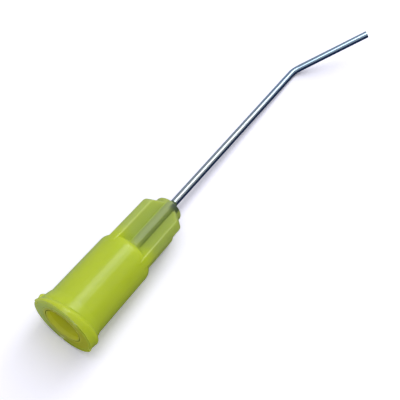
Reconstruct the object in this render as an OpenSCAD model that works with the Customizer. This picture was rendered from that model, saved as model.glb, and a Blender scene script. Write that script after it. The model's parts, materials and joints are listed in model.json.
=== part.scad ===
// Dispensing needle tip: a bent steel cannula bonded into a moulded Luer-lock hub.
//
// Each piece is drawn on the hub's own axis. The mouth's end face is at z = 0, the cannula
// leaves along +Z, and its bent end leans towards +X. lying() then lays the whole tip on a
// flat surface as it comes to rest: on the shoulder, a fin's corner and the outside of the
// bend, with the bent end rising beside it.

/* [Luer socket] */
// Diameter of the tapered socket at the mouth
socket_mouth_d = 4.3; // [3.9:0.05:4.6]
// Taper of the socket, in per cent of its length
socket_taper = 6; // [4:0.5:8]
// Depth of the tapered wall
socket_depth = 8.6; // [7.5:0.1:9]
// Lead-in chamfer at the mouth
socket_lead_in = 0.25; // [0.1:0.05:0.4]
// Length of the cone that closes the socket down to the cannula's hole
socket_cone_h = 1.6; // [1.2:0.1:2]

/* [Thread lugs] */
// Diameter over the two lugs
lug_d = 7.8; // [7.6:0.05:8]
// Height of the middle of each lug above the end face
lug_mid_h = 0.5; // [0.4:0.05:0.7]
// Lean of each lug in degrees, so that the pair makes a two-start right-hand thread
lug_lean = 7; // [4:0.5:9]
// Width of the land on each lug's crest
lug_land = 0.25; // [0.15:0.05:0.4]
// Angle that each lug covers
lug_span = 176; // [150:2:178]
// Angle from the bend's plane to the middle of the first lug
lug_turn = -32; // [-90:1:90]

/* [Flange] */
// Diameter of the end face's outer edge
rim_d = 7.2; // [7:0.05:7.4]
// Height of the flange's straight side
rim_h = 0.9; // [0.6:0.05:1.2]
// Rounding of the end face's outer edge
rim_edge = 0.12; // [0.05:0.01:0.2]
// Height at which the flange has run out into the body
flange_h = 1.95; // [1.8:0.05:2.4]

/* [Body] */
// Diameter of the body where it leaves the flange
body_d = 6.6; // [6.4:0.05:6.8]
// Height of the shoulder's edge above the end face
body_h = 10; // [9.6:0.1:11]
// Draft of the body's wall in degrees
body_draft = 0.25; // [0.1:0.05:0.5]
// Radius that rounds the shoulder's edge
shoulder_r = 0.8; // [0.5:0.05:1]
// Slope of the shoulder's top in degrees
shoulder_slope = 26; // [15:1:35]

/* [Core] */
// Diameter of the core that holds the cannula
core_d = 3.4; // [3:0.05:3.8]
// Height of the core's top above the end face
core_h = 18.5; // [18:0.1:20]
// Chamfer round the core's top
core_chamfer = 0.3; // [0.1:0.05:0.35]

/* [Fins] */
// Number of fins round the core
fin_count = 4; // [4:4:8]
// Turn of the fins from the bend's plane
fin_turn = 8; // [0:1:15]
// Thickness of a fin
fin_t = 1.3; // [1:0.05:1.5]
// Height of a fin's outer corner above the end face
fin_h = 16.4; // [15:0.1:16.8]
// Draft of a fin's outer edge in degrees
fin_draft = 0.6; // [0.3:0.1:3]
// Slope of a fin's top up to the core, in degrees
fin_slope = 42; // [30:1:45]
// Radius of a fin's outer corner
fin_corner_r = 0.45; // [0.3:0.05:0.6]

/* [Cannula] */
// Outer diameter of the tube, 20 gauge
cannula_d = 0.908; // [0.7:0.002:1.1]
// Wall of the tube
cannula_wall = 0.152; // [0.1:0.002:0.2]
// Length from the core's top to the corner of the bend
cannula_straight = 28.8; // [20:0.1:40]
// Length from the corner of the bend to the cut end
cannula_end = 10.8; // [6:0.1:14]
// Angle of the bend
bend_angle = 45; // [30:1:60]
// Radius of the bend at the tube's centre line
bend_r = 2; // [1.5:0.1:3]

/* [Adhesive] */
// Diameter of the well in the core's top
well_d = 2; // [1.6:0.05:2.2]
// Depth of the well
well_depth = 1.1; // [0.6:0.1:1.6]
// Height that the bead climbs up the tube above the core
bead_h = 0.8; // [0.4:0.05:1.2]
// Width of the flat that is left round the bead on the core's top
bead_margin = 0.1; // [0.05:0.01:0.15]
// How hollow the bead's side is: 1 is a plain cone
bead_hollow = 1.6; // [1:0.1:2.5]

/* [Fit] */
// Gap all round between the tube and the hub's hole
bond_gap = 0.03; // [0.01:0.005:0.05]

/* [Hidden] */
$fn = 96;
// Steps that draw an arc or a curve in a profile
curve_steps = 8;
// How far a cutting shape runs past what it cuts
past = 1;

// Heights on the hub's axis
hole_z = socket_depth + socket_cone_h;
well_z = core_h - well_depth;
bend_z = core_h + cannula_straight;

// Radii
body_top_r = body_d / 2 - (body_h - flange_h) * tan(body_draft);
core_r = core_d / 2;
cannula_r = cannula_d / 2;
bore_r = cannula_r - cannula_wall;
hole_r = cannula_r + bond_gap;
bead_r = core_r - core_chamfer - bead_margin;

// Length that the bend takes from the straight part and from the end
bend_leg = bend_r * tan(bend_angle / 2);

// Middle of the arc that rounds the shoulder's edge
shoulder_x = body_top_r - shoulder_r;

// Middle of the arc that rounds a fin's outer corner
fin_corner_x = body_top_r - (fin_h - body_h) * tan(fin_draft) - fin_corner_r;
fin_corner_z = fin_h - fin_corner_r;

// Rest on a flat surface. The shoulder, the side of one fin's corner and the outside of the
// bend touch it. dip is the fall of the axis towards the bend, and rise is the turn of the
// bend's plane up from level. up is the surface's normal as the drawn tip sees it.
rest = at_rest();
dip = rest[0];
rise = rest[1];
up = [sin(rise) * cos(dip), -cos(rise) * cos(dip), -sin(dip)];
ahead = ([0, 0, 1] - up[2] * up) / cos(dip);
side = cross(up, ahead);

// Reach of the resting tip from the mouth's middle, along the surface and down to it
end_dir = [sin(bend_angle), 0, cos(bend_angle)];
end_point = [0, 0, bend_z] + cannula_end * end_dir;
reach_ahead = end_point * ahead + cannula_r * norm(cross(end_dir, ahead));
reach_back = -lug_d / 2 * sin(dip);
reach_right = end_point * side - cannula_r * norm(cross(end_dir, side));
reach_left = lug_d / 2;
lift = shoulder_fall(dip);

// Distance from the mouth's middle down to the shoulder's lowest point
function shoulder_fall(dip) = shoulder_x * cos(dip) + body_h * sin(dip) + shoulder_r;

// [dip, rise] at rest. sag is how far the bend's lowest point lies below the straight part's
// end. It depends on the pose, so the pose is found again with it a few times.
function at_rest(sag = 0, times = 4) =
    let (
        bend_h = bend_z - bend_leg - body_h,
        dip = acos((cannula_r + sag - shoulder_r) / norm([shoulder_x, bend_h]))
            - atan2(bend_h, shoulder_x),
        corner_r = fin_corner_x + fin_corner_r * cos(dip),
        corner_z = fin_corner_z + fin_corner_r * sin(dip),
        corner_fall = (shoulder_fall(dip) - corner_z * sin(dip)) / cos(dip),
        rise = fin_turn + asin(fin_t / 2 / corner_r) + acos(min(1, corner_fall / corner_r)),
        tuck = sin(rise) * cos(dip))
    times == 0 ? [dip, rise] : at_rest(bend_r * (norm([tuck, sin(dip)]) - tuck), times - 1);

function arc(x, z, r, from, to) =
    [for (i = [0 : curve_steps]) let (a = from + (to - from) * i / curve_steps)
        [x + r * cos(a), z + r * sin(a)]];

function socket_r(z) = socket_mouth_d / 2 - z * socket_taper / 200;

module lying() {
    translate([-(reach_ahead + reach_back) / 2, -(reach_left + reach_right) / 2, lift])
        rotate([0, 0, 180])
            rotate([0, -90 - dip, 0])
                rotate([0, 0, 90 - rise])
                    children();
}

// One lug: half of a leaning ring with a narrow crest and sloping flanks. It starts low
// at the mouth and climbs as it goes round.
module lug() {
    root_r = body_d / 2 - lug_land;
    flank = lug_d / 2 - root_r;
    intersection() {
        translate([0, 0, lug_mid_h])
            rotate([lug_lean, 0, 0])
                rotate_extrude()
                    polygon([
                        [root_r, -lug_land / 2 - flank],
                        [lug_d / 2, -lug_land / 2],
                        [lug_d / 2, lug_land / 2],
                        [root_r, lug_land / 2 + flank]]);
        rotate([0, 0, -lug_span / 2])
            rotate_extrude(angle = lug_span)
                square([lug_d, 2 * flange_h]);
    }
}

// The revolved part of the hub: flange, body, shoulder and core round the Luer socket,
// the cannula's hole and the adhesive's well
module turned_hub() {
    shoulder_end_x = shoulder_x + shoulder_r * sin(shoulder_slope);
    shoulder_end_z = body_h + shoulder_r * cos(shoulder_slope);
    shoulder_core_z = shoulder_end_z + (shoulder_end_x - core_r) * tan(shoulder_slope);
    rotate_extrude()
        polygon(concat(
            [[socket_r(0) + socket_lead_in, 0]],
            arc(rim_d / 2 - rim_edge, rim_edge, rim_edge, -90, 0),
            [[rim_d / 2, rim_h], [body_d / 2, flange_h]],
            arc(shoulder_x, body_h, shoulder_r, 0, 90 - shoulder_slope),
            [[core_r, shoulder_core_z],
             [core_r, core_h - core_chamfer],
             [core_r - core_chamfer, core_h],
             [well_d / 2, core_h],
             [well_d / 2, well_z],
             [hole_r, well_z],
             [hole_r, hole_z],
             [socket_r(socket_depth), socket_depth],
             [socket_r(socket_lead_in), socket_lead_in]]));
}

// The fins: bars across a turned blank, so that their outer edges follow the body's round
module fins() {
    slope_x = fin_corner_x + fin_corner_r * sin(fin_slope);
    slope_z = fin_corner_z + fin_corner_r * cos(fin_slope);
    inner_r = (well_d / 2 + core_r) / 2;
    intersection() {
        rotate_extrude()
            polygon(concat(
                [[inner_r, body_h - past + shoulder_r],
                 [shoulder_x, body_h - past + shoulder_r],
                 [body_top_r, body_h]],
                arc(fin_corner_x, fin_corner_z, fin_corner_r, 0, 90 - fin_slope),
                [[inner_r, slope_z + (slope_x - inner_r) * tan(fin_slope)]]));
        for (i = [0 : fin_count - 1])
            rotate([0, 0, fin_turn + 360 / fin_count * i])
                translate([0, -fin_t / 2, 0])
                    cube([body_d, fin_t, core_h]);
    }
}

module hub() {
    color([0.69, 0.77, 0.25]) {
        turned_hub();
        fins();
        intersection() {
            for (turn = [0, 180])
                rotate([0, 0, lug_turn + turn])
                    lug();
            cylinder(r = lug_d, h = 2 * flange_h);
        }
    }
}

// A round rod of radius r along the cannula's line, run on by some length at both ends
module bent_rod(r, run_on = 0) {
    translate([0, 0, hole_z - run_on])
        cylinder(r = r, h = bend_z - bend_leg - hole_z + run_on);
    translate([bend_r, 0, bend_z - bend_leg])
        rotate([90, 0, 180])
            rotate_extrude(angle = bend_angle)
                translate([bend_r, 0])
                    circle(r = r);
    translate([bend_r, 0, bend_z - bend_leg])
        rotate([0, bend_angle, 0])
            translate([-bend_r, 0, 0])
                cylinder(r = r, h = cannula_end - bend_leg + run_on);
}

module cannula() {
    color([0.78, 0.81, 0.86])
        difference() {
            bent_rod(cannula_r);
            bent_rod(bore_r, past);
        }
}

// The bead: it fills the core's well round the tube and climbs the tube in a hollow curve
module adhesive() {
    bead_w = bead_r - cannula_r;
    color([0.50, 0.56, 0.27])
        rotate_extrude()
            polygon(concat(
                [[cannula_r, well_z], [well_d / 2, well_z], [well_d / 2, core_h]],
                [for (i = [0 : curve_steps]) let (t = i / curve_steps)
                    [bead_r - bead_w * t, core_h + bead_h * pow(t, bead_hollow)]]));
}

lying() hub();
lying() cannula();
lying() adhesive();
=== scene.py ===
# Dispensing needle tip: a bent steel cannula bonded into a translucent moulded Luer lock hub.
import json
import math

import bmesh
import bpy
from mathutils import Matrix, Vector


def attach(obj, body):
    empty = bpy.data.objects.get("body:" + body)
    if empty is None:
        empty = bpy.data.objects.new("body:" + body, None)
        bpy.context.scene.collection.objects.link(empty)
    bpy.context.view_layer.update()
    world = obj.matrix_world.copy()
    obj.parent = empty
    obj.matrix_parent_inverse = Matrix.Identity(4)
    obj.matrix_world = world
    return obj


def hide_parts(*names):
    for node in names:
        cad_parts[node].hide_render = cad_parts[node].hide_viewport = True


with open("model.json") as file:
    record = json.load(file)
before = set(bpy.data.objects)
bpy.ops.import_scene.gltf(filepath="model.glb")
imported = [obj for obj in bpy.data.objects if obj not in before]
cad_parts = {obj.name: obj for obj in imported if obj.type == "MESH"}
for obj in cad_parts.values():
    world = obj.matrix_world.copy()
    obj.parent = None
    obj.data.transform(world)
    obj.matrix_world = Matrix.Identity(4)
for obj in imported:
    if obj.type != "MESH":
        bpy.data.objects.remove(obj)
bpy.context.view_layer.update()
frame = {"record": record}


# ---- Hub: turned body ----------------------------------------------------------------------
# One moulding in translucent yellow-green polypropylene. Its turned body holds the tapered
# Luer socket and the core that grips the cannula. Sizes are millimetres and angles degrees, on
# the hub's own axis with the mouth at z = 0, until lay() puts the finished piece in its place.

def only(obj):
    """Selects that object alone and makes it active."""
    bpy.ops.object.select_all(action="DESELECT")
    obj.select_set(True)
    bpy.context.view_layer.objects.active = obj


def arc(x, z, r, start, stop, steps):
    """Points of an arc in a profile, as (radius, height)."""
    angles = [math.radians(start + (stop - start) * i / steps) for i in range(steps + 1)]
    return [(x + r * math.cos(a), z + r * math.sin(a)) for a in angles]


def eased(x, z, *offsets):
    """Points that take the place of a sharp corner in a profile, as steps out and up from it."""
    return [(x + out, z + up) for out, up in offsets]


def turned(name, profile, sides=160):
    """A profile of (radius, height), drawn round the axis by extruding one ring."""
    radius, height = profile[0]
    bpy.ops.object.select_all(action="DESELECT")
    bpy.ops.mesh.primitive_circle_add(vertices=sides, radius=radius, location=(0, 0, height))
    obj = bpy.context.object
    obj.name = name
    bpy.ops.object.transform_apply(location=True)
    bpy.ops.object.mode_set(mode="EDIT")
    bpy.ops.mesh.select_all(action="SELECT")
    for next_radius, next_height in profile[1:]:
        grow = next_radius / radius
        bpy.ops.mesh.extrude_edges_move(
            TRANSFORM_OT_translate={"value": (0, 0, next_height - height)})
        bpy.ops.transform.resize(value=(grow, grow, 1), center_override=(0, 0, 0))
        radius, height = next_radius, next_height
    mesh = bmesh.from_edit_mesh(obj.data)
    for edge in mesh.edges:
        edge.select_set(edge.is_boundary)
    bmesh.update_edit_mesh(obj.data)
    # This closes the lugs and the adhesive, but adds no faces to the hub, which is made before
    # edge selection is switched on. Its end face keeps an open slot, one lip_edge wide, there.
    bpy.ops.mesh.bridge_edge_loops()
    bpy.ops.mesh.select_all(action="SELECT")
    bpy.ops.mesh.normals_make_consistent(inside=False)
    bpy.ops.object.mode_set(mode="OBJECT")
    return obj


rim_r, rim_h, rim_edge = 3.6, 0.9, 0.30     # the flange's rim, and the rounding of its edge
flange_h = 1.95                             # where the flange's back has run down to the wall
body_r, body_top_r, body_h = 3.3, 3.265, 10.0
shoulder_r, shoulder_drop = 1.1, 0.15       # the rounding at the wall's top, and how low it sits
shoulder_slope = 26
core_r, core_h, core_edge = 1.7, 18.5, 0.3  # the core round the tube, and its top's rounding
socket_r, socket_taper = 2.15, 0.03         # at the mouth, and what is lost per unit of depth
socket_depth, socket_cone = 8.6, 1.6        # the cone at its end narrows to the tube's hole
lip_edge, lead_in = 0.08, 0.22              # the rounding of its lip, and the easing below it
cannula_r, bond_gap = 0.454, 0.03           # the tube, and the gap round it in the core's hole
well_r, well_depth = 1.0, 1.1

shoulder_x, shoulder_h = body_top_r - shoulder_r, body_h - shoulder_drop
shoulder_end_r = shoulder_x + shoulder_r * math.sin(math.radians(shoulder_slope))
shoulder_end_h = shoulder_h + shoulder_r * math.cos(math.radians(shoulder_slope))
climb = math.tan(math.radians(shoulder_slope))
core_foot_h = shoulder_end_h + (shoulder_end_r - core_r) * climb
tube_foot_h = socket_depth + socket_cone

hub = turned("hub_moulding", [
    (socket_r + 2 * lip_edge, 0),
    *arc(rim_r - rim_edge, rim_edge, rim_edge, -90, 0, 6),
    *eased(rim_r, rim_h, (0, -0.12), (-0.03, 0.03)),
    *eased(body_r, flange_h, (0.09, -0.20), (0.03, -0.04), (0, 0.18)),
    *arc(shoulder_x, shoulder_h, shoulder_r, 0, 90 - shoulder_slope, 8),
    *eased(core_r, core_foot_h, (0.25, -0.25 * climb), (0.08, 0.02), (0, 0.17)),
    (core_r, core_h - core_edge),
    *arc(core_r - core_edge, core_h - core_edge, core_edge, 15, 90, 4),
    (well_r, core_h), (well_r, core_h - well_depth),
    (cannula_r + bond_gap, core_h - well_depth), (cannula_r + bond_gap, tube_foot_h),
    *eased(socket_r - socket_taper * socket_depth, socket_depth, (-0.12, 0.06), (0, -0.12)),
    (socket_r - socket_taper * lead_in, 2 * lead_in),
    *arc(socket_r + lip_edge, lip_edge, lip_edge, 180, 270, 5)])


# ---- Hub: fins -----------------------------------------------------------------------------
# Four fins of the same moulding stiffen the core. Each is a bar that stands on the shoulder,
# in line with the body's wall, and its top slopes up to the core.

def select_edges(obj, wanted):
    """Selects the edges whose two ends pass the test together."""
    bpy.ops.mesh.select_mode(type="EDGE")
    bpy.ops.mesh.select_all(action="DESELECT")
    mesh = bmesh.from_edit_mesh(obj.data)
    for edge in mesh.edges:
        edge.select_set(wanted(edge.verts[0].co, edge.verts[1].co))
    bmesh.update_edit_mesh(obj.data)


def join(base, part):
    """Joins one mesh to another and keeps the first."""
    only(base)
    union = base.modifiers.new("join", "BOOLEAN")
    union.operation = "UNION"
    union.solver = "EXACT"
    union.object = part
    bpy.ops.object.modifier_apply(modifier=union.name)
    bpy.data.objects.remove(part)


fin_count, fin_turn = 4, 8                  # the first stands 8 degrees from the bend's plane
fin_t, fin_h = 1.3, 16.4                    # its thickness, and the height of its outer corner
fin_draft, fin_slope = 0.6, 42              # how its wall leans in, and how its top climbs
fin_corner, fin_edge = 0.75, 0.20           # roundings of the outer corner and the long edges
fin_inner_r, fin_foot_h = 1.35, 9.7         # where it ends inside the core and the shoulder
near = 0.1                                  # how close an edge lies to the place it is picked by
fin_top_r = body_top_r - (fin_h - body_h) * math.tan(math.radians(fin_draft))
fin_rise = (fin_top_r - fin_inner_r) * math.tan(math.radians(fin_slope))
fin_bevel = fin_corner * math.tan(math.radians((90 - fin_slope) / 2))

bpy.ops.object.select_all(action="DESELECT")
bpy.ops.mesh.primitive_cube_add(size=1, location=(
    (body_top_r + fin_inner_r) / 2, 0, (fin_h + fin_foot_h) / 2))
fin = bpy.context.object
fin.scale = (body_top_r - fin_inner_r, fin_t, fin_h - fin_foot_h)
bpy.ops.object.transform_apply(location=True, scale=True)
bpy.ops.object.mode_set(mode="EDIT")
# slope the top up to the core
select_edges(fin, lambda a, b: min(a.z, b.z) > fin_h - near
             and max(a.x, b.x) < fin_inner_r + near)
bpy.ops.transform.translate(value=(0, 0, fin_rise))
# bring the outer corner in with the draft, and round it
select_edges(fin, lambda a, b: min(a.z, b.z) > fin_h - near
             and min(a.x, b.x) > fin_inner_r + near)
bpy.ops.transform.translate(value=(fin_top_r - body_top_r, 0, 0))
bpy.ops.mesh.bevel(offset=fin_bevel, segments=6)
# round the long edges that show
select_edges(fin, lambda a, b: abs(a.y - b.y) < near and max(a.z, b.z) > fin_foot_h + near
             and max(a.x, b.x) > fin_inner_r + near)
bpy.ops.mesh.bevel(offset=fin_edge, segments=3)
bpy.ops.mesh.select_all(action="SELECT")
bpy.ops.mesh.normals_make_consistent(inside=False)
bpy.ops.object.mode_set(mode="OBJECT")

for i in range(fin_count):
    copy = fin.copy()
    copy.data = fin.data.copy()
    bpy.context.collection.objects.link(copy)
    copy.rotation_euler = (0, 0, math.radians(fin_turn + 360 / fin_count * i))
    only(copy)
    bpy.ops.object.transform_apply(rotation=True)
    join(hub, copy)
bpy.data.objects.remove(fin)


# ---- Hub: thread lugs ----------------------------------------------------------------------
# Two lugs at the mouth screw into a Luer lock syringe. Each is half of a leaning ring with a
# narrow rounded crest, which starts in the end face and climbs as it goes round.

lug_r, lug_mid_h, lug_land = 3.9, 0.5, 0.25
lug_lean, lug_turn = 7, -32                 # the lean, and the first lug's middle round the axis
lug_front, lug_end = 1.7, 0.13              # how far its front is filled, and how short it stops
lug_face_h = 0.001                          # where it is cut level with the end face
lug_root_r = body_r - lug_land
lug_flank = lug_r - lug_root_r
half = lug_land / 2

for turn in (lug_turn, lug_turn + 180):
    lug = turned("lug", [
        (lug_root_r, -half - lug_front),
        *eased(lug_r, -half, (-0.25, -1.0), (-0.14, -0.35), (-0.06, -0.10), (0, 0.07)),
        *eased(lug_r, half, (0, -0.07), (-0.07, 0.05), (-0.20, 0.20)),
        (lug_root_r, half + lug_flank)])
    lug.rotation_euler = (math.radians(lug_lean), 0, 0)
    lug.location = (0, 0, lug_mid_h)
    bpy.ops.object.transform_apply(location=True, rotation=True)
    bpy.ops.object.mode_set(mode="EDIT")
    for point, away in (((0, 0, lug_face_h), (0, 0, -1)), ((lug_end, 0, 0), (-1, 0, 0))):
        bpy.ops.mesh.select_all(action="SELECT")
        bpy.ops.mesh.bisect(plane_co=point, plane_no=away, use_fill=True, clear_outer=True,
                            threshold=0.0001)
    bpy.ops.mesh.select_all(action="SELECT")
    bpy.ops.mesh.normals_make_consistent(inside=False)
    bpy.ops.object.mode_set(mode="OBJECT")
    lug.rotation_euler = (0, 0, math.radians(turn))
    bpy.ops.object.transform_apply(rotation=True)
    join(hub, lug)


# ---- Hub: place and finish -----------------------------------------------------------------
# The finished moulding is laid as the tip rests, on its shoulder, a fin's corner and the bend.
# Light scatters a few millimetres into the plastic. The thin core shows the steel and the bond
# inside it, painted into its colour with painted light and shade.

mounts = {m["name"]: m for m in frame["record"]["mounts"]}
mouth = Vector(mounts["luer_socket"]["pos_m"])
hub_axis = -Vector(mounts["luer_socket"]["axis"]).normalized()
end_axis = Vector(mounts["cannula_end"]["axis"]).normalized()
lean_axis = (end_axis - hub_axis * end_axis.dot(hub_axis)).normalized()
side_axis = hub_axis.cross(lean_axis)
turn_lying = Matrix((lean_axis, side_axis, hub_axis)).transposed()
lying = Matrix.Translation(mouth) @ turn_lying.to_4x4() @ Matrix.Scale(0.001, 4)


def lay(obj, cad_node, smooth=30):
    """Lays a finished piece in its place in the frame, in metres, to stand for its node."""
    only(obj)
    obj.matrix_world = lying
    bpy.ops.object.transform_apply(location=True, rotation=True, scale=True)
    bpy.ops.object.shade_smooth_by_angle(angle=math.radians(smooth))
    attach(obj, "root")
    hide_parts(cad_node)


class Value:
    """A node's output that takes Python arithmetic."""

    def __init__(self, finish, socket):
        self.finish, self.socket = finish, socket

    def _maths(self, operation, *values):
        return self.finish.node("ShaderNodeMath", {"operation": operation}, *values)

    def __add__(self, other):
        return self._maths("ADD", self, other)

    def __mul__(self, other):
        return self._maths("MULTIPLY", self, other)

    __radd__, __rmul__ = __add__, __mul__


class Finish:
    """A material or world as it is built up out of nodes."""

    def __init__(self, owner):
        owner.use_nodes = True
        self.owner, self.tree = owner, owner.node_tree
        self.tree.nodes.clear()

    def node(self, kind, settings=None, *values, output=None, **named):
        """Adds a node, sets it up, fills its inputs and gives one of its outputs."""
        node = self.tree.nodes.new(kind)
        for key, value in (settings or {}).items():
            setattr(node, key, value)
        inputs = [(node.inputs[i], v) for i, v in enumerate(values)]
        inputs += [(next(s for s in node.inputs if s.enabled and s.name == k.replace("_", " ")), v)
                   for k, v in named.items()]
        for socket, value in inputs:
            if isinstance(value, Value):
                self.tree.links.new(value.socket, socket)
            else:
                socket.default_value = value
        outputs = [s for s in node.outputs if s.enabled]
        return outputs and Value(self, next((s for s in outputs if s.name == output), outputs[0]))


def vector(finish, operation, *values, **named):
    """Vector arithmetic; a length or a dot product comes out as a number."""
    return finish.node("ShaderNodeVectorMath", {"operation": operation}, *values, **named)


def mix(finish, factor, first, second):
    """One colour blended into another."""
    return finish.node("ShaderNodeMix", {"data_type": "RGBA"}, Factor=factor, A=first, B=second)


def step(finish, value, low, high):
    """A smooth step: 0 at one value, 1 at the other."""
    return finish.node("ShaderNodeMapRange", {"interpolation_type": "SMOOTHSTEP"}, value,
                       From_Min=low, From_Max=high)


def on_axis(finish):
    """The place on the tip: millimetres from the mouth along its own axes."""
    here = finish.node("ShaderNodeTexCoord", output="Object")
    turned_back = finish.node("ShaderNodeMapping", {"vector_type": "TEXTURE"}, Vector=here,
                              Location=mouth, Rotation=turn_lying.to_euler())
    return vector(finish, "SCALE", turned_back, Scale=1000.0)


shaded_lip = (0.25, 0.38, 0)                # the middle of the shade round the mouth
across_core = (0.545, 0.839, 0)             # 57 degrees from the bend's plane

plastic = Finish(bpy.data.materials.new("hub_polypropylene"))
place = on_axis(plastic)
cloud = plastic.node("ShaderNodeTexNoise", Vector=place, Scale=0.35, Detail=3.0, output="Fac")
flow = plastic.node("ShaderNodeTexNoise", Vector=place, Scale=2.2, Detail=4.0, output="Fac")
grain = plastic.node("ShaderNodeBump", Strength=0.05, Distance=0.00002, Height=flow)
height = plastic.node("ShaderNodeSeparateXYZ", Vector=place, output="Z")
from_axis = vector(plastic, "MULTIPLY", place, (1, 1, 0))
core_reach = vector(plastic, "LENGTH", from_axis)
mouth_reach = vector(plastic, "LENGTH", vector(plastic, "SUBTRACT", from_axis, shaded_lip))
across = vector(plastic, "DOT_PRODUCT", place, across_core)

# the body: the end face is a little darker with painted shade, and the thin wall of the socket is
# brighter with painted light
wall_tint, wall_cloud_tint = (0.63, 0.72, 0.050, 1), (0.59, 0.68, 0.040, 1)
face_shade_tint, socket_glow_tint = (0.60, 0.60, 0.030, 1), (0.92, 0.90, 0.09, 1)
face_out, face_up = (3.25, 2.70), (0.55, 0.15)      # where each mask fades from 0 to 1
socket_out, socket_up = (2.60, 2.30), (10.0, 9.0)
# painted shade: the end face is darker towards the mouth's shaded side
end_face_shade = step(plastic, mouth_reach, *face_out) * step(plastic, height, *face_up)
# painted light: the socket is painted brighter, standing in for light that comes through its thin
# wall
socket = step(plastic, core_reach, *socket_out) * step(plastic, height, *socket_up)
wall_colour = mix(plastic, cloud, wall_tint, wall_cloud_tint)
wall_colour = mix(plastic, end_face_shade, wall_colour, face_shade_tint)
wall_colour = mix(plastic, socket, wall_colour, socket_glow_tint)
wall = plastic.node("ShaderNodeBsdfPrincipled", Base_Color=wall_colour,
                    Roughness=0.19 + 0.05 * cloud + 0.4 * end_face_shade, IOR=1.49,
                    Subsurface_Weight=0.9, Subsurface_Scale=0.003,
                    Subsurface_Radius=(1.0, 1.0, 0.3), Transmission_Weight=0.05, Normal=grain)

# the core: the lit and the shaded side of the steel show through it as painted light and shade,
# and the bond at its top is painted in
core_tint, core_cloud_tint = (0.68, 0.78, 0.17, 1), (0.62, 0.72, 0.14, 1)
far_side_shade_tint, bond_and_shade_tint = (0.38, 0.45, 0.08, 1), (0.09, 0.12, 0.06, 1)
lit_tint, shaded_tint = (0.40, 0.47, 0.16, 1), (0.30, 0.37, 0.06, 1)
core_out, far_side_shade, bonded_up = (2.0, 1.8), (-0.9, 0.6), (17.1, 18.2)
lit_start, lit_stop = (-0.75, -0.50), (0.20, 0.05)
shaded_start, shaded_stop = (0.05, 0.20), (0.70, 0.50)
bonded_start, bonded_stop = (-0.20, 0.10), (1.20, 0.90)
core = step(plastic, core_reach, *core_out)
lit_side = core * step(plastic, across, *lit_start) * step(plastic, across, *lit_stop)
shaded_side = core * step(plastic, across, *shaded_start) * step(plastic, across, *shaded_stop)
bond_and_shade = (core * step(plastic, height, *bonded_up) * step(plastic, across, *bonded_start)
          * step(plastic, across, *bonded_stop))
core_colour = mix(plastic, cloud, core_tint, core_cloud_tint)
# painted shade: one side of the core is painted darker
core_colour = mix(plastic, 0.4 * step(plastic, across, *far_side_shade), core_colour, far_side_shade_tint)
# painted light and shade: the steel's lit and shaded sides, painted as they would show through the
# core
core_colour = mix(plastic, 0.8 * lit_side, core_colour, lit_tint)
core_colour = mix(plastic, shaded_side, core_colour, shaded_tint)
# the bond's own dark colour at the core's top, laid on its shaded side only, so partly painted
# shade
core_colour = mix(plastic, bond_and_shade, core_colour, bond_and_shade_tint)
clear = plastic.node("ShaderNodeBsdfPrincipled", Base_Color=core_colour,
                     Roughness=0.36 + 0.06 * cloud, IOR=1.49, Subsurface_Weight=0.9,
                     Subsurface_Scale=0.002, Subsurface_Radius=(1.0, 1.0, 0.5),
                     Transmission_Weight=0.25, Normal=grain)
clear_up = (10.2, 12.6)
above_shoulder = step(plastic, height, *clear_up)
moulded = plastic.node("ShaderNodeMixShader", None, above_shoulder, wall, clear)
plastic.node("ShaderNodeOutputMaterial", Surface=moulded)
hub.data.materials.append(plastic.owner)
lay(hub, "hub")


# ---- Cannula -------------------------------------------------------------------------------
# A thin-walled tube of drawn stainless steel, 20 gauge, polished bright along its length. It
# is bent by 45 degrees and cut square at both ends, and its foot stands in the core's hole.

cannula_wall, cut_edge = 0.152, 0.02
bend_h, bend_angle, bend_r = 47.3, 45, 2.0  # the height of the bend's corner, its angle and radius
end_length = 10.8                           # from the bend's corner to the cut end
tube_sides, bend_steps = 96, 16
sharp = 1.2                                 # radians between two faces, as at a cut end
bend_leg = bend_r * math.tan(math.radians(bend_angle / 2))


def tube_wall(radius):
    """One wall of the tube: a ring drawn up to the bend, round it and out to the cut end."""
    lean, run = math.radians(bend_angle), end_length - bend_leg
    bpy.ops.object.select_all(action="DESELECT")
    bpy.ops.mesh.primitive_circle_add(vertices=tube_sides, radius=radius,
                                      location=(0, 0, tube_foot_h))
    wall = bpy.context.object
    bpy.ops.object.transform_apply(location=True)
    bpy.ops.object.mode_set(mode="EDIT")
    bpy.ops.mesh.select_all(action="SELECT")
    bpy.ops.mesh.extrude_edges_move(
        TRANSFORM_OT_translate={"value": (0, 0, bend_h - bend_leg - tube_foot_h)})
    bpy.ops.mesh.spin(steps=bend_steps, angle=-lean, axis=(0, 1, 0),
                      center=(bend_r, 0, bend_h - bend_leg))
    bpy.ops.mesh.extrude_edges_move(
        TRANSFORM_OT_translate={"value": (run * math.sin(lean), 0, run * math.cos(lean))})
    bpy.ops.object.mode_set(mode="OBJECT")
    return wall


cannula = tube_wall(cannula_r - cannula_wall)
cannula.name = "cannula_tube"
outer = tube_wall(cannula_r)
only(cannula)
outer.select_set(True)
bpy.ops.object.join()
bpy.ops.object.mode_set(mode="EDIT")
bpy.ops.mesh.select_mode(type="EDGE")
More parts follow.
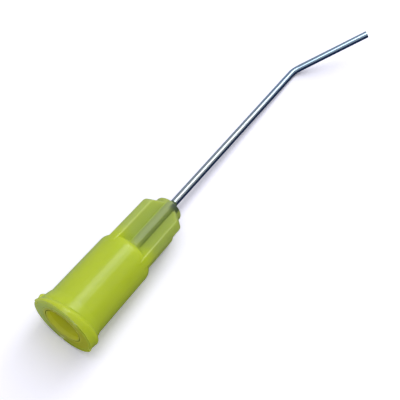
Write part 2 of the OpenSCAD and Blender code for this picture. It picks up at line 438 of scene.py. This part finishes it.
# Bridge the two walls at the foot and then at the cut end, and take the sharp edges off. Both
# bridges join each ring to the far side of the other, so their faces cross over the bore and
# the inner wall ends up facing away from it.
for at_foot in (True, False):
    bpy.ops.mesh.select_all(action="DESELECT")
    mesh = bmesh.from_edit_mesh(cannula.data)
    for edge in mesh.edges:
        edge.select_set(edge.is_boundary and (edge.verts[0].co.z < tube_foot_h + 1) == at_foot)
    bmesh.update_edit_mesh(cannula.data)
    bpy.ops.mesh.bridge_edge_loops()
bpy.ops.mesh.select_all(action="DESELECT")
mesh = bmesh.from_edit_mesh(cannula.data)
for edge in mesh.edges:
    if len(edge.link_faces) == 2 and edge.calc_face_angle(0) > sharp:
        edge.select_set(True)
bmesh.update_edit_mesh(cannula.data)
bpy.ops.mesh.bevel(offset=cut_edge, segments=2)
bpy.ops.mesh.select_all(action="SELECT")
bpy.ops.mesh.normals_make_consistent(inside=False)
bpy.ops.object.mode_set(mode="OBJECT")

# drawing marks run along the tube, and the steel is a little bluer towards its bent end, a painted
# reflection
steel_tint, streak_tint = (0.60, 0.63, 0.66, 1), (0.70, 0.73, 0.76, 1)
blue_reflection_tint, blue_reflection_up = (0.48, 0.60, 0.76, 1), (30, 49)
steel = Finish(bpy.data.materials.new("cannula_drawn_steel"))
place = on_axis(steel)
drawn = steel.node("ShaderNodeMapping", Vector=place, Scale=(9.0, 9.0, 0.12))
streaks = steel.node("ShaderNodeTexNoise", Vector=drawn, Scale=1.0, Detail=4.0, output="Fac")
height = steel.node("ShaderNodeSeparateXYZ", Vector=place, output="Z")
colour = mix(steel, streaks, steel_tint, streak_tint)
# painted reflection: the steel is bluer towards the bent end
colour = mix(steel, step(steel, height, *blue_reflection_up), colour, blue_reflection_tint)
lines = steel.node("ShaderNodeBump", Strength=0.02, Distance=0.00002, Height=streaks)
polished = steel.node("ShaderNodeBsdfPrincipled", Base_Color=colour, Metallic=1.0,
                      Roughness=0.15 + 0.06 * streaks, Normal=lines)
steel.node("ShaderNodeOutputMaterial", Surface=polished)
cannula.data.materials.append(steel.owner)
lay(cannula, "cannula", 40)


# ---- Adhesive ------------------------------------------------------------------------------
# The cured adhesive that fixes the tube in the core, clear with a dark olive tint. It fills the
# well round the tube, and its top climbs the tube in a hollow bead.

bead_r, bead_h, bead_steps = 1.2, 0.8, 10
bead_hollow = 1.6                           # the power of its climb: 1 is a plain cone
climbs = [i / bead_steps for i in range(bead_steps + 1)]
bead = [(bead_r - (bead_r - cannula_r) * t, core_h + bead_h * t ** bead_hollow) for t in climbs]
adhesive = turned("adhesive_bead", [
    (cannula_r, core_h - well_depth), (well_r, core_h - well_depth), (well_r, core_h), *bead],
    tube_sides)

olive_tint, pale_olive_tint = (0.12, 0.17, 0.05, 1), (0.18, 0.23, 0.08, 1)
bond = Finish(bpy.data.materials.new("cured_adhesive"))
place = on_axis(bond)
cloud = bond.node("ShaderNodeTexNoise", Vector=place, Scale=1.6, Detail=2.0, output="Fac")
colour = mix(bond, cloud, olive_tint, pale_olive_tint)
dimple = bond.node("ShaderNodeBump", Strength=0.15, Distance=0.0001, Height=cloud)
cured = bond.node("ShaderNodeBsdfPrincipled", Base_Color=colour, Roughness=0.12 + 0.1 * cloud,
                  IOR=1.5, Transmission_Weight=0.3, Normal=dimple)
bond.node("ShaderNodeOutputMaterial", Surface=cured)
adhesive.data.materials.append(bond.owner)
lay(adhesive, "adhesive", 40)


# ---- Studio --------------------------------------------------------------------------------
# A plain white floor that runs back under soft light. Two long soft lamps draw the highlights
# along the hub, and two cards on the floor give the polished tube its dark and its grey edge.

paper_tint, fibre_tint = (0.60, 0.60, 0.60, 1), (0.62, 0.62, 0.62, 1)
seen_paper_tint, seen_fibre_tint = (1.38, 1.27, 1.38, 1), (1.40, 1.29, 1.40, 1)
bpy.ops.object.select_all(action="DESELECT")
bpy.ops.mesh.primitive_plane_add(size=3.0)
floor = bpy.context.object
floor.name = "studio_floor"
paper = Finish(bpy.data.materials.new("white_paper"))
place = paper.node("ShaderNodeTexCoord", output="Object")
fibre = paper.node("ShaderNodeTexNoise", Vector=place, Scale=60.0, Detail=3.0, output="Fac")
plain = mix(paper, fibre, paper_tint, fibre_tint)
sheet = paper.node("ShaderNodeBsdfPrincipled", Base_Color=plain, Roughness=0.9)
# where it is seen or mirrored the paper reads white, and still takes the tip's shadow
seen_plain = mix(paper, fibre, seen_paper_tint, seen_fibre_tint)
seen_sheet = paper.node("ShaderNodeBsdfDiffuse", Color=seen_plain)
seen = (paper.node("ShaderNodeLightPath", output="Is Camera Ray")
        + paper.node("ShaderNodeLightPath", output="Is Glossy Ray")
        + paper.node("ShaderNodeLightPath", output="Is Transmission Ray"))
shown = paper.node("ShaderNodeMixShader", None, seen, sheet, seen_sheet)
paper.node("ShaderNodeOutputMaterial", Surface=shown)
floor.data.materials.append(paper.owner)

# A dark card lies along one side of the tip and a grey one along the other, each with its far
# edge turned up. Only mirrored and refracted light meets them. Sizes here are metres.
card_width, card_h, card_fold = 0.5, 0.00005, 0.15
for name, start, reach, stand, colour in (
        ("studio_dark_card", 0.0005, -0.160, 0.10, (0.022, 0.040, 0.095, 1)),
        ("studio_grey_card", 0.0010, 0.200, 0.03, (0.26, 0.33, 0.46, 1))):
    bpy.ops.object.select_all(action="DESELECT")
    bpy.ops.mesh.primitive_plane_add(size=1, location=(0, start + reach / 2, card_h))
    card = bpy.context.object
    card.name = name
    card.scale = (card_width, abs(reach), 1)
    bpy.ops.object.transform_apply(location=True, scale=True)
    bpy.ops.object.mode_set(mode="EDIT")
    select_edges(card, lambda a, b: min(abs(a.y), abs(b.y)) > card_fold)
    bpy.ops.mesh.extrude_edges_move(TRANSFORM_OT_translate={"value": (0, 0, stand)})
    bpy.ops.object.mode_set(mode="OBJECT")
    card.visible_camera = card.visible_diffuse = card.visible_shadow = False
    felt = Finish(bpy.data.materials.new(name + "_felt"))
    cover = felt.node("ShaderNodeBsdfDiffuse", Color=colour)
    felt.node("ShaderNodeOutputMaterial", Surface=cover)
    card.data.materials.append(felt.owner)

lamp_aim = Vector((0, 0, 9))                # the place on the hub's axis that the lamps face
lamp_distance, lamp_colour = 0.30, (0.9, 0.97, 1.0)     # metres from there


def soft_lamp(name, turn, lift, width, length, strength):
    """A long lamp beside the hub, its length along the tip. turn is its angle from the bend's
    plane and lift the angle that it stands forward of the hub, both in degrees. Its width and
    length are in metres and its strength in watts."""
    turn, lift = math.radians(turn), math.radians(lift)
    away = turn_lying @ Vector((math.cos(turn) * math.cos(lift),
                                math.sin(turn) * math.cos(lift), math.sin(lift)))
    bpy.ops.object.light_add(type="AREA", location=lying @ lamp_aim + away * lamp_distance)
    lamp = bpy.context.object
    lamp.name = name
    across_lamp = away.cross(hub_axis).normalized()
    lamp.rotation_euler = Matrix(
        (across_lamp, away.cross(across_lamp), away)).transposed().to_euler()
    lamp.data.shape = "RECTANGLE"
    lamp.data.size, lamp.data.size_y = width, length
    lamp.data.energy = strength
    lamp.data.color = lamp_colour


soft_lamp("strip_lamp", turn=-31, lift=30, width=0.022, length=0.36, strength=0.08)
soft_lamp("top_lamp", turn=-51, lift=20, width=0.120, length=0.60, strength=0.62)

world = bpy.data.worlds.new("studio_air")
bpy.context.scene.world = world
air = Finish(world)
background = air.node("ShaderNodeBackground", Color=(0.90, 0.97, 1, 1), Strength=0.42)
air.node("ShaderNodeOutputWorld", Surface=background)
bpy.context.scene.view_settings.view_transform = "Standard"


# ---- Camera --------------------------------------------------------------------------------
# It looks down past the mouth and along the tip, rolled so that the axis climbs the picture.
# Its place is in metres, and its near limit is short because the tip is small.

camera_place = (-0.04177, -0.01178, 0.07405)
camera_turn = [math.radians(turn) for turn in (25.755, -10.129, -53.649)]
bpy.ops.object.camera_add(location=camera_place, rotation=camera_turn)
camera = bpy.context.object
camera.data.lens = 61.83
camera.data.clip_start = 0.001
bpy.context.scene.camera = camera
